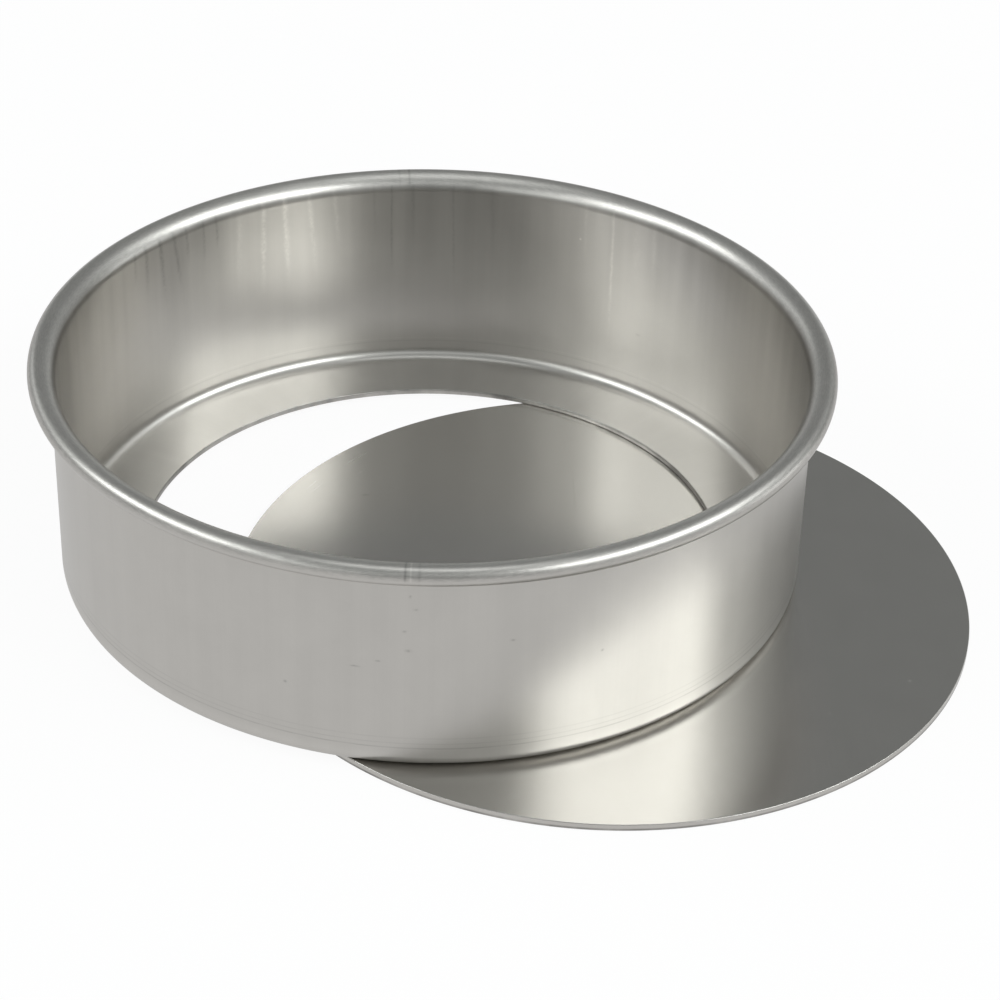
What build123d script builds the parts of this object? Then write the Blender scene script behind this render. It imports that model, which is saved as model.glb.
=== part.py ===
from build123d import *
import os
from math import radians, sin

# Round cake tin with a loose base, laid out with the base drawn out and the ring standing on it.
# Lengths are in millimetres. The origin is on the ring's axis, on the table, with +Z up.

# Sheet the two pieces are made of, and how far their cut edges are eased
sheet = 2.0
base_thickness = 2.4
edge_round_share = 0.3

# Ring: inside width and depth of the tin, and the ledge that carries the base.
# The corner is pressed as tight outside as inside.
inner_diameter = 254.0
inside_depth = 77.5
ledge_width = 26.0
corner_radius = 4.0

# Rolled rim: the sheet turns outwards and rolls under round a hollow,
# until its cut end stands near the wall's outer face
rim_hollow_radius = 1.25
rim_end_gap = 1.4
rim_end_angle = 55

# Loose base: its play in the ring, and where it lies beside the ring's axis
base_play = 0.3
base_offset_x = 58.6
base_offset_y = -28.9

# Radii that follow from the sizes above
inner_radius = inner_diameter / 2
opening_radius = inner_radius - ledge_width
base_radius = inner_radius - base_play
rim_roll_radius = sheet + rim_hollow_radius
rim_turn_radius = sheet + rim_end_gap + rim_roll_radius * sin(radians(rim_end_angle))

# The ring stands on the base, so its heights count from the base's upper face
ledge_top = base_thickness + sheet
rim_top = ledge_top + inside_depth

os.makedirs("parts", exist_ok=True)


def sheet_face(depth):
    # One face of the bent sheet, from the ledge's cut edge to the end of the roll,
    # at a depth below the face that holds the cake
    corner_start = inner_radius + depth - corner_radius
    ledge = Line((opening_radius, ledge_top - depth), (corner_start, ledge_top - depth))
    corner = JernArc(ledge @ 1, ledge % 1, corner_radius, 90)
    wall = Line(corner @ 1, (inner_radius + depth, rim_top - rim_turn_radius))
    turn = JernArc(wall @ 1, wall % 1, rim_turn_radius - depth, -90)
    roll = JernArc(turn @ 1, turn % 1, rim_roll_radius - depth, -180 - rim_end_angle)
    return ledge @ 0, roll @ 1


# Side ring: one sheet spun into ledge, corner, wall and rolled rim
with BuildPart() as side_ring:
    with BuildSketch(Plane.XZ) as ring_section:
        with BuildLine():
            inside_start, inside_end = sheet_face(0)
            outside_start, outside_end = sheet_face(sheet)
            Line(inside_start, outside_start)
            Line(inside_end, outside_end)
        make_face()
        ledge_tip = ring_section.vertices().group_by(Axis.X)[0]
        fillet(ledge_tip, sheet * edge_round_share)
    revolve(axis=Axis.Z)

side_ring.part.label = "side_ring"
export_step(side_ring.part, "parts/side_ring.step")


# Loose base: a flat disc with eased edges, lying on the table and partly under the ring
base_plane = Plane((base_offset_x, base_offset_y, 0))

with BuildPart() as loose_base:
    with BuildSketch(base_plane) as base_outline:
        Circle(base_radius)
    extrude(amount=base_thickness)
    rim_edges = loose_base.edges().filter_by(GeomType.CIRCLE)
    fillet(rim_edges, base_thickness * edge_round_share)

loose_base.part.label = "loose_base"
export_step(loose_base.part, "parts/loose_base.step")
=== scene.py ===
import math
import bmesh
import bpy
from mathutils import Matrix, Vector


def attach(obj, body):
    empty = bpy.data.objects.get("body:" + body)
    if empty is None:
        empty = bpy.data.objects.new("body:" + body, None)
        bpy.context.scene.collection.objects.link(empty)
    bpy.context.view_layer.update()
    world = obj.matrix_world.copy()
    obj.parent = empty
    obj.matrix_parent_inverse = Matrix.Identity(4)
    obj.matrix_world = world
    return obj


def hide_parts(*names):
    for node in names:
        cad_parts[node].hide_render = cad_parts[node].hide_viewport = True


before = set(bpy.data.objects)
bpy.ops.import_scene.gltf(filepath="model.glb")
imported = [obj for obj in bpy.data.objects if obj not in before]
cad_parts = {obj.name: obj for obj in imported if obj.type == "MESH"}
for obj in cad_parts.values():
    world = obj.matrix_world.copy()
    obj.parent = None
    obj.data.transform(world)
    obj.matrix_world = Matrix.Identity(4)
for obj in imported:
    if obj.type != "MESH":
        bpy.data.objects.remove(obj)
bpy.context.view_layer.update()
print("frame loaded:", sorted(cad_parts))

# lengths in metres, angles in degrees
weldReach = 1e-7

ringSizes = {
    "sheet": 0.002,
    "innerRadius": 0.127,
    "ledgeTop": 0.0044,
    "depth": 0.0775,
    "ledge": 0.026,
    "corner": 0.004,
    "rimHollow": 0.00125,
    "rimEndGap": 0.0014,
    "rimEndAngle": 55,
    "edgeRound": 0.0006,
    "aroundSteps": 360,
}

baseSizes = {
    "centre": (0.0586, -0.0289),
    "radius": 0.1267,
    "thickness": 0.0024,
    "edgeRound": 0.00072,
    "aroundSteps": 360,
}


def addPiece(name, bm, body, node, material):
    mesh = bpy.data.meshes.new(name)
    bm.normal_update()
    bm.to_mesh(mesh)
    bm.free()
    for face in mesh.polygons:
        face.use_smooth = True
    piece = bpy.data.objects.new(name, mesh)
    bpy.context.scene.collection.objects.link(piece)
    mesh.materials.append(material)
    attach(piece, body)
    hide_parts(node)
    print(name, "made,", len(mesh.polygons), "faces")


shortStep, shortShare = 0.0003, 0.2


def runTo(bm, vert, target, steps):
    # a straight run of the section, with a short step at both ends that keeps it flat
    start = vert.co.copy()
    way = Vector(target) - start
    short = min(shortStep / way.length, shortShare)
    stops = [short] + [short + (1 - 2 * short) * (i + 1) / steps for i in range(steps)] + [1]
    for stop in stops:
        made = bmesh.ops.extrude_vert_indiv(bm, verts=[vert])
        vert = made["verts"][0]
        vert.co = start + way * stop
    return vert


def bendBy(bm, vert, centre, angle, steps):
    # a bend of the section in the XZ plane; a positive angle turns from +X towards +Z
    made = bmesh.ops.spin(bm, geom=[vert], cent=centre, axis=(0, -1, 0), angle=math.radians(angle),
                          steps=steps, use_merge=False, use_duplicate=False)
    return [item for item in made["geom_last"] if isinstance(item, bmesh.types.BMVert)][0]


def sheetFace(bm, depth):
    # one face of the bent sheet, from the ledge's cut edge to the end of the roll
    s = ringSizes
    inner, top = s["innerRadius"], s["ledgeTop"] + s["depth"]
    rollRadius = s["sheet"] + s["rimHollow"]
    turnRadius = s["sheet"] + s["rimEndGap"] + rollRadius * math.sin(math.radians(s["rimEndAngle"]))
    first = bm.verts.new((inner - s["ledge"], 0, s["ledgeTop"] - depth))
    cornerPlace = inner + depth - s["corner"], s["ledgeTop"] - depth + s["corner"]
    vert = runTo(bm, first, (cornerPlace[0], 0, s["ledgeTop"] - depth), 6)
    vert = bendBy(bm, vert, (cornerPlace[0], 0, cornerPlace[1]), 90, 12)
    vert = runTo(bm, vert, (inner + depth, 0, top - turnRadius), 14)
    vert = bendBy(bm, vert, (inner + turnRadius, 0, top - turnRadius), -90, 12)
    vert = bendBy(bm, vert, (inner + turnRadius, 0, top - rollRadius), -180 - s["rimEndAngle"], 26)
    return first, vert


def makeSideRing(material):
    bm = bmesh.new()
    insideFirst, insideLast = sheetFace(bm, 0)
    outsideFirst, outsideLast = sheetFace(bm, ringSizes["sheet"])
    bm.edges.new((insideFirst, outsideFirst))
    bm.edges.new((insideLast, outsideLast))
    bmesh.ops.bevel(bm, geom=[insideFirst, outsideFirst], offset=ringSizes["edgeRound"],
                    offset_type="OFFSET", segments=4, profile=0.5, affect="VERTICES", material=-1)
    bmesh.ops.spin(bm, geom=bm.verts[:] + bm.edges[:], cent=(0, 0, 0), axis=(0, 0, 1), angle=math.tau,
                   steps=ringSizes["aroundSteps"], use_merge=True, use_duplicate=False)
    bmesh.ops.remove_doubles(bm, verts=bm.verts[:], dist=weldReach)
    bmesh.ops.recalc_face_normals(bm, faces=bm.faces[:])
    addPiece("sideRing", bm, "ring", "side_ring", material)


def makeLooseBase(material):
    s = baseSizes
    bm = bmesh.new()
    first = bm.verts.new((0, 0, 0))
    vert = runTo(bm, first, (s["radius"], 0, 0), 12)
    lower = vert
    upper = runTo(bm, vert, (s["radius"], 0, s["thickness"]), 1)
    runTo(bm, upper, (0, 0, s["thickness"]), 12)
    bmesh.ops.bevel(bm, geom=[lower, upper], offset=s["edgeRound"], offset_type="OFFSET",
                    segments=5, profile=0.5, affect="VERTICES", material=-1)
    bmesh.ops.spin(bm, geom=bm.verts[:] + bm.edges[:], cent=(0, 0, 0), axis=(0, 0, 1), angle=math.tau,
                   steps=s["aroundSteps"], use_merge=True, use_duplicate=False)
    bmesh.ops.remove_doubles(bm, verts=bm.verts[:], dist=weldReach)
    bmesh.ops.recalc_face_normals(bm, faces=bm.faces[:])
    bmesh.ops.translate(bm, verts=bm.verts[:], vec=(*s["centre"], 0))
    addPiece("looseBase", bm, "base", "loose_base", material)


class Wire:
    # one output socket of a node tree; sums and products of wires add Math nodes
    def __init__(self, tree, socket=None):
        self.tree, self.socket = tree, socket

    def node(self, kind, settings={}, sockets={}, out=0):
        made = self.tree.nodes.new("ShaderNode" + kind)
        for name, value in settings.items():
            setattr(made, name, value)
        for name, value in sockets.items():
            if isinstance(value, Wire):
                self.tree.links.new(value.socket, made.inputs[name])
            else:
                made.inputs[name].default_value = value
        return Wire(self.tree, made.outputs[out])

    def maths(self, operation, *values):
        return self.node("Math", {"operation": operation}, dict(enumerate(values)))

    def __add__(self, other):
        return self.maths("ADD", self, other)

    def __radd__(self, other):
        return self.maths("ADD", other, self)

    def __sub__(self, other):
        return self.maths("SUBTRACT", self, other)

    def __rsub__(self, other):
        return self.maths("SUBTRACT", other, self)

    def __mul__(self, other):
        return self.maths("MULTIPLY", self, other)

    def __rmul__(self, other):
        return self.maths("MULTIPLY", other, self)

    def __truediv__(self, other):
        return self.maths("DIVIDE", self, other)

    def __rtruediv__(self, other):
        return self.maths("DIVIDE", other, self)

    def __pow__(self, other):
        return self.maths("POWER", self, other)

    def fade(self, low, high):
        # 0 below low and 1 above high, or the other way round where low is the larger
        flip = low > high
        stops = {"From Min": min(low, high), "From Max": max(low, high),
                 "To Min": int(flip), "To Max": int(not flip)}
        return self.node("MapRange", {"interpolation_type": "SMOOTHSTEP"}, {"Value": self, **stops})

    def bell(self, centre, width):
        # 1 at the centre, falling to nothing about two widths away
        away = (self - centre) / width
        return self.maths("EXPONENT", away * away * -1)

    def vector(self, operation, *values, out=0):
        return self.node("VectorMath", {"operation": operation}, dict(enumerate(values)), out)

    def parts(self, value):
        made = self.node("SeparateXYZ", {}, {0: value}).socket.node
        return [Wire(self.tree, socket) for socket in made.outputs]

    def mixed(self, factor, first, second, blend="MIX"):
        settings = {"data_type": "RGBA", "blend_type": blend}
        return self.node("Mix", settings, {0: factor, 6: first, 7: second}, 2)

    def noise(self, place, scale, detail=2, roughness=0.5):
        # centred on 0, about -0.5 to 0.5
        sockets = {"Vector": place, "Scale": scale, "Detail": detail, "Roughness": roughness}
        return self.node("TexNoise", {}, sockets) - 0.5


def startMetal(name, looks):
    # a bare metal shader; finishMetal links what changes over the piece
    material = bpy.data.materials.new(name)
    material.use_nodes = True
    shader = material.node_tree.nodes["Principled BSDF"]
    shader.inputs["Metallic"].default_value = 1
    shader.inputs["Specular Tint"].default_value = looks["edgeColour"]
    shader.inputs["Anisotropic"].default_value = looks["brushed"]
    shader.inputs["Anisotropic Rotation"].default_value = looks["brushTurn"]
    return material, shader, Wire(material.node_tree)


reliefUnit = 0.0001


def finishMetal(shader, wire, base, tone, roughness, height):
    # tone multiplies the base colour, and height counts in relief units
    links = wire.tree.links
    shade = wire.node("CombineColor", {}, {0: tone, 1: tone, 2: tone})
    links.new(wire.mixed(1, base, shade, "MULTIPLY").socket, shader.inputs["Base Color"])
    links.new(roughness.socket, shader.inputs["Roughness"])
    bump = wire.node("Bump", {}, {"Strength": 1, "Distance": reliefUnit, "Height": height})
    links.new(bump.socket, shader.inputs["Normal"])


# angles run from the back (+Y) towards the right (+X), in degrees; lengths in metres
ringFinish = {
    "colour": (0.562, 0.545, 0.518, 1),
    "roughness": 0.32,
    "brushed": 0.55,
    "brushTurn": 0.25,
    "rimRoughness": 0.36,
    # a painted highlight that brightens the rolled rim
    "rimHighlight": 0.1,
    "edgeColour": (0.94, 0.94, 0.94, 1),
    "mottling": 0.1,
    "streaks": 0.04,
    "wave": 0.25,
    # where one finish or painted shade gives way to the next, as a radius or a height
    "wallFade": (0.1283, 0.1277),
    "rimFade": (0.0776, 0.0794),
    "shoulderShadeFade": (0.1346, 0.1358),
    "cutEdgeShadeFade": (0.1016, 0.1012),
    "footShadeFade": (0.0034, 0.0026),
    "drawnFade": (0.03, 0.07),
    # the painted highlight, a pale strip above the foot: height, width, brightness
    "footHighlightStrip": (0.0068, 0.0018, 0.05),
    "marksTop": 0.0795,
    "marksFade": 0.002,
    "marksSpread": 1.25,
    "marksStrength": 1.25,
    "spotsStrength": 1.4,
    # marks left by drawing the wall: angle under the rim, angle at the foot, height of the foot,
    # width in degrees, brightness; they were picked by eye in the photograph, and a scratch script
    # turned the picked points into angles, heights and widths, as it did with the places of the
    # lines, nicks and spots below and on the base
    "drawMarks": [
        (-58.0, -58.2, 0.0662, 0.28, -0.10), (-55.2, -55.2, 0.0609, 0.32, -0.13),
        (-51.8, -51.1, 0.0528, 0.32, -0.13), (-48.8, -47.3, 0.0549, 0.31, -0.12),
        (-45.9, -45.6, 0.0647, 0.26, -0.13), (-42.2, -42.3, 0.0621, 0.21, -0.13),
        (-39.6, -39.5, 0.0656, 0.20, -0.12), (-35.0, -35.5, 0.0446, 0.45, 0.08),
        (-30.4, -30.7, 0.0421, 0.36, 0.14), (-26.6, -26.0, 0.0447, 0.40, 0.16),
        (-22.1, -21.0, 0.0451, 0.38, 0.10), (-17.7, -16.7, 0.0544, 0.30, 0.07),
        (-10.7, -10.4, 0.0551, 0.22, -0.05), (-7.7, -7.6, 0.0427, 0.16, -0.12),
        (-4.1, -3.9, 0.0541, 0.24, -0.08), (2.8, 3.3, 0.0335, 0.19, -0.08),
        (9.5, 9.9, 0.0517, 0.31, -0.05), (26.2, 26.4, 0.0541, 0.28, 0.05),
        (31.4, 31.6, 0.0222, 0.19, 0.10), (35.8, 36.4, 0.0509, 0.59, 0.05),
        (39.4, 39.8, 0.0548, 0.35, 0.06),
    ],
    # tool lines round the wall: height, width, brightness
    "linesOutside": [(0.0101, 0.00022, -0.17), (0.0119, 0.0002, -0.09), (0.0140, 0.00025, -0.06)],
    "linesInside": [(0.0114, 0.0003, -0.07), (0.0127, 0.00025, 0.04)],
    # nicks across the rolled rim: angle, width, brightness
    "rimTicks": [
        (-176.8, 0.16, -0.3), (-177.5, 0.14, 0.2), (-178.6, 0.2, -0.12),
        (-4.6, 0.2, -0.2), (-6.2, 0.2, -0.1),
    ],
    # small marks: angle, height, half width, half height, brightness
    "spotsOutside": [
        (-159.7, 0.0298, 0.0005, 0.0005, -0.18), (-177.3, 0.0679, 0.0004, 0.0005, -0.14),
        (-178.1, 0.0632, 0.0007, 0.0004, -0.1), (-176.6, 0.0549, 0.0006, 0.0004, -0.14),
        (-169.8, 0.0404, 0.0014, 0.0003, -0.2), (-173.0, 0.0432, 0.0008, 0.0003, -0.15),
        (-177.1, 0.0477, 0.0009, 0.0005, -0.15), (155.4, 0.0408, 0.0005, 0.0004, -0.2),
        (168.6, 0.0507, 0.0007, 0.0004, -0.15),
    ],
    "spotsInside": [(37.4, 0.0301, 0.0008, 0.0006, -0.12), (25.4, 0.0633, 0.0004, 0.0004, 0.3)],
}


def makeRingMetal():
    s = ringFinish
    material, shader, wire = startMetal("ringMetal", s)
    place = wire.node("TexCoord", out="Object")
    x, y, z = wire.parts(place)
    radius = (x * x + y * y) ** 0.5
    turn = wire.maths("ARCTAN2", x, y) * math.degrees(1)
    inside = radius.fade(*s["wallFade"])
    outside = 1 - inside
    rimTop = z.fade(*s["rimFade"])
    shoulderShade = radius.fade(*s["shoulderShadeFade"])

    # the wall unrolled: a circle of radius 1 for the way round, with the height across it
    unrolled = wire.node("CombineXYZ", {}, {0: x / radius, 1: y / radius, 2: z * 8})
    streaks = wire.noise(wire.vector("MULTIPLY", unrolled, (170, 170, 1.5)), 1, 3, 0.6)
    bands = wire.noise(wire.vector("MULTIPLY", unrolled, (14, 14, 0.6)), 1, 2, 0.5)
    mottling = wire.noise(place, 60, 4, 0.6)
    grime = wire.noise(place, 900, 2, 0.5)
    # fine lines that run round the rolled rim
    rimPlace = {0: x / radius * 60 + radius * 3000, 1: y / radius * 60, 2: z * 3000}
    rimLines = wire.noise(wire.node("CombineXYZ", {}, rimPlace), 1, 2)

    wavering = turn + wire.noise(wire.vector("MULTIPLY", unrolled, (40, 40, 26)), 1, 2) * 0.5
    marks = 0
    for top, foot, footHeight, width, brightness in s["drawMarks"]:
        drop = (s["marksTop"] - z) * (1 / (s["marksTop"] - footHeight))
        across = (wavering - (drop * (foot - top) + top)).bell(0, width * s["marksSpread"])
        marks = across * drop.fade(1.15, 0.45) * (brightness * s["marksStrength"]) + marks
    marks = marks * inside * z.fade(s["marksTop"], s["marksTop"] - s["marksFade"])
    # each mark breaks up along its length
    marks = marks * (1 + grime * 2.5 + mottling * 2)

    lines = 0
    for side, name in ((outside, "linesOutside"), (inside, "linesInside")):
        for height, width, brightness in s[name]:
            lines = (z + bands * 0.0003).bell(height, width) * side * brightness + lines
    lines = lines * (1 + bands * 2.5)

    ticks = 0
    for angle, width, brightness in s["rimTicks"]:
        ticks = turn.bell(angle, width) * brightness + ticks
    ticks = ticks * rimTop

    spots = 0
    wallInside, wallOutside = ringSizes["innerRadius"], ringSizes["innerRadius"] + ringSizes["sheet"]
    for side, reach, name in ((outside, wallOutside, "spotsOutside"), (inside, wallInside, "spotsInside")):
        for angle, height, halfWidth, halfHeight, brightness in s[name]:
            spot = turn.bell(angle, math.degrees(halfWidth / reach)) * z.bell(height, halfHeight)
            spots = spot * side * (brightness * s["spotsStrength"]) + spots
    spots = spots * (1 + grime * 3)

    # painted shade darkens the foot's bend, with a painted highlight as a paler strip above it
    stripHeight, stripWidth, stripBrightness = s["footHighlightStrip"]
    foot = outside * (z.fade(*s["footShadeFade"]) * -0.4 + z.bell(stripHeight, stripWidth) * stripBrightness)
    # painted shade darkens the ledge's cut edge, made uneven at random
    cutShade = radius.fade(*s["cutEdgeShadeFade"]) * (mottling * 1.5 - 0.28)
    # real marks, lines, nicks and spots, with the painted shade and highlight at the foot and the painted
    # shade on the cut edge
    wearAndShade = marks + lines + ticks + spots + foot + cutShade
    # the wall is more uneven inside, towards its top
    drawn = z.fade(*s["drawnFade"]) * inside
    tone = 1 + mottling * s["mottling"] + streaks * s["streaks"] + bands * (drawn * 0.3 + 0.09) + wearAndShade
    # painted highlight brightens the rolled rim and painted shade darkens its outer shoulder; its grime
    # and fine lines are its own
    tone = tone + rimTop * (s["rimHighlight"] + grime * 0.12 + rimLines * 0.45 - shoulderShade * 0.22)
    rimChange = rimTop * (s["rimRoughness"] - s["roughness"])
    roughness = s["roughness"] + rimChange + streaks * 0.03 + mottling * 0.04
    height = bands * s["wave"] * (0.15 + drawn) + streaks * 0.006
    finishMetal(shader, wire, s["colour"], tone, roughness, height)
    return material


baseFinish = {
    "centre": baseSizes["centre"],
    "colour": (0.562, 0.545, 0.518, 1),
    "roughness": 0.24,
    "brushed": 0.0,
    "brushTurn": 0.0,
    "edgeColour": (0.95, 0.95, 0.95, 1),
    "grain": 0.04,
    "mottling": 0.05,
    "rubbing": 0.14,
    # where the rubbing starts and is full, from right to left, and the same for the painted shade along
    # the foot, as heights
    "rubbedFade": (0.015, -0.03),
    "footShadeFade": (0.0012, 0.0005),
    # small marks: place, half width, half depth, brightness
    "spots": [
        (-0.0242, 0.0287, 0.0012, 0.0006, -0.2), (0.0373, 0.0735, 0.001, 0.0007, -0.1),
        (0.1493, -0.0408, 0.0004, 0.0004, 0.25), (0.1591, -0.0794, 0.0006, 0.0006, 0.25),
        (0.1305, -0.0980, 0.0004, 0.0004, 0.3), (0.0516, 0.033, 0.0003, 0.02, -0.05),
    ],
}


def makeBaseMetal():
    s = baseFinish
    material, shader, wire = startMetal("baseMetal", s)
    place = wire.node("TexCoord", out="Object")
    x, y, z = wire.parts(place)
    # rolling grain of the sheet, running from front to back
    grain = wire.noise(wire.vector("MULTIPLY", place, (1300, 14, 14)), 1, 3, 0.6)
    bands = wire.noise(wire.vector("MULTIPLY", place, (90, 3, 3)), 1, 2, 0.5)
    mottling = wire.noise(place, 60, 4, 0.6)
    # fine rubbing marks that follow the rim, mostly towards the left
    away = wire.vector("SUBTRACT", place, (*s["centre"], 0))
    reach = wire.vector("LENGTH", away, out=1)
    arcs = wire.node("CombineXYZ", {}, {0: reach * 2200, 1: y * 30, 2: x * 30})
    patches = wire.noise(place, 45, 2).fade(0, 0.12)
    rubbed = wire.noise(arcs, 1, 1).fade(0.12, 0.3) * x.fade(*s["rubbedFade"]) * patches
    spots = 0
    for left, back, halfWidth, halfDepth, brightness in s["spots"]:
        spots = x.bell(left, halfWidth) * y.bell(back, halfDepth) * brightness + spots
    # painted shade darkens the cut edge along its foot, made uneven at random
    foot = z.fade(*s["footShadeFade"]) * (mottling * 1.5 - 0.38)
    # the painted shade at the foot, with rubbing marks and small marks
    wearAndShade = foot + rubbed * s["rubbing"] + spots
    tone = 1 + grain * s["grain"] + bands * 0.03 + mottling * s["mottling"] + wearAndShade
    roughness = s["roughness"] + grain * 0.04 + mottling * 0.03 + rubbed * 0.05
    height = grain * 0.012 + bands * 0.03 + spots * 0.2
    finishMetal(shader, wire, s["colour"], tone, roughness, height)
    return material


makeSideRing(makeRingMetal())
makeLooseBase(makeBaseMetal())


floorLooks = {"size": 30.0, "paint": 0.95, "glow": 0.93, "mirrored": 0.77}


def makeFloor():
    bm = bmesh.new()
    bmesh.ops.create_grid(bm, x_segments=1, y_segments=1, size=floorLooks["size"] / 2)
    mesh = bpy.data.meshes.new("floor")
    bm.to_mesh(mesh)
    bm.free()
    floor = bpy.data.objects.new("floor", mesh)
    bpy.context.scene.collection.objects.link(floor)
    material = bpy.data.materials.new("floorWhite")
    material.use_nodes = True
    nodes, links = material.node_tree.nodes, material.node_tree.links
    nodes.clear()
    output = nodes.new("ShaderNodeOutputMaterial")
    mix = nodes.new("ShaderNodeMixShader")
    paint = nodes.new("ShaderNodeBsdfDiffuse")
    paint.inputs["Color"].default_value = (*[floorLooks["paint"]] * 3, 1)
    glow = nodes.new("ShaderNodeEmission")
    path = nodes.new("ShaderNodeLightPath")
    wire = Wire(material.node_tree)
    camera, glossy, through = (Wire(wire.tree, path.outputs[ray]) for ray in
                               ("Is Camera Ray", "Is Glossy Ray", "Is Transmission Ray"))
    seen = wire.maths("MINIMUM", camera + glossy + through, 1) * floorLooks["glow"]
    # white to the camera, and dimmer where metal mirrors it
    strength = camera * (1 - floorLooks["mirrored"]) + floorLooks["mirrored"]
    links.new(strength.socket, glow.inputs["Strength"])
    links.new(seen.socket, mix.inputs[0])
    links.new(paint.outputs[0], mix.inputs[1])
    links.new(glow.outputs[0], mix.inputs[2])
    links.new(mix.outputs[0], output.inputs[0])
    mesh.materials.append(material)


makeFloor()

cameraSetup = {
    "place": (0, -0.80895, 0.54369),
    "turn": (57.0677, -1.5379, -0.6948),
    "lens": 99.0,
}


def makeCamera():
    data = bpy.data.cameras.new("camera")
    data.sensor_width = 36
    data.lens = cameraSetup["lens"]
    data.clip_start, data.clip_end = 0.05, 60
    camera = bpy.data.objects.new("camera", data)
    camera.location = cameraSetup["place"]
    camera.rotation_euler = [math.radians(a) for a in cameraSetup["turn"]]
    bpy.context.scene.collection.objects.link(camera)
    bpy.context.scene.camera = camera


makeCamera()

# softboxes all round the tin, as it sees them: angle from the back towards the right, height angle,
# half width, half height in degrees, and brightness; which ones there are and how bright they are
# was fitted to the photograph by scratch scripts, and some were then changed by hand
studioLights = {
    "colour": (0.95, 0.985, 0.985),
    "distance": 4.0,
    "dome": 0.26,
    "softboxes": [
        (-95.0, 40.0, 22.0, 9.5, 3.0),
        (-128.0, 31.0, 13.0, 16.0, 0.65),
        (-150.0, 22.0, 13.0, 8.0, 0.87),
        (-55.0, 22.0, 26.0, 8.0, 0.54),
        (-60.0, 40.0, 12.0, 9.0, 0.09),
        (117.0, 40.0, 23.5, 9.5, 4.2),
        (82.0, 40.0, 12.0, 9.0, 1.1),
        (60.0, 40.0, 13.0, 9.0, 0.4),
        (150.0, 30.0, 14.0, 14.0, 0.28),
        (180.0, 40.0, 14.0, 9.0, 0.5),
        (80.0, 5.0, 14.0, 6.0, 1.56),
        (3.0, 5.0, 28.0, 6.0, 0.33),
        (47.0, 22.0, 26.0, 8.0, 0.13),
        (0.0, 88.0, 14.0, 14.0, 0.85),
    ],
}


def makeSoftbox(angle, height, halfWidth, halfHeight, brightness):
    away = studioLights["distance"]
    turn, rise = math.radians(angle), math.radians(height)
    level = math.cos(rise)
    place = Vector((math.sin(turn) * level, math.cos(turn) * level, math.sin(rise))) * away
    data = bpy.data.lights.new("softbox", "AREA")
    data.shape = "RECTANGLE"
    data.size = 2 * away * math.tan(math.radians(halfWidth))
    data.size_y = 2 * away * math.tan(math.radians(halfHeight))
    # a lamp's watts for a given brightness of its face
    data.energy = 4 * brightness * data.size * data.size_y
    data.color = studioLights["colour"]
    lamp = bpy.data.objects.new("softbox", data)
    lamp.location = place
    lamp.rotation_euler = (-place).to_track_quat("-Z", "Y").to_euler()
    lamp.visible_camera = False
    bpy.context.scene.collection.objects.link(lamp)


def makeStudio():
    for softbox in studioLights["softboxes"]:
        makeSoftbox(*softbox)
    world = bpy.data.worlds.new("studio")
    world.use_nodes = True
    background = world.node_tree.nodes["Background"]
    background.inputs["Color"].default_value = (*studioLights["colour"], 1)
    background.inputs["Strength"].default_value = studioLights["dome"]
    bpy.context.scene.world = world
    print("studio lit by", len(studioLights["softboxes"]), "softboxes")


makeStudio()
bpy.context.scene.view_settings.view_transform = "Standard"
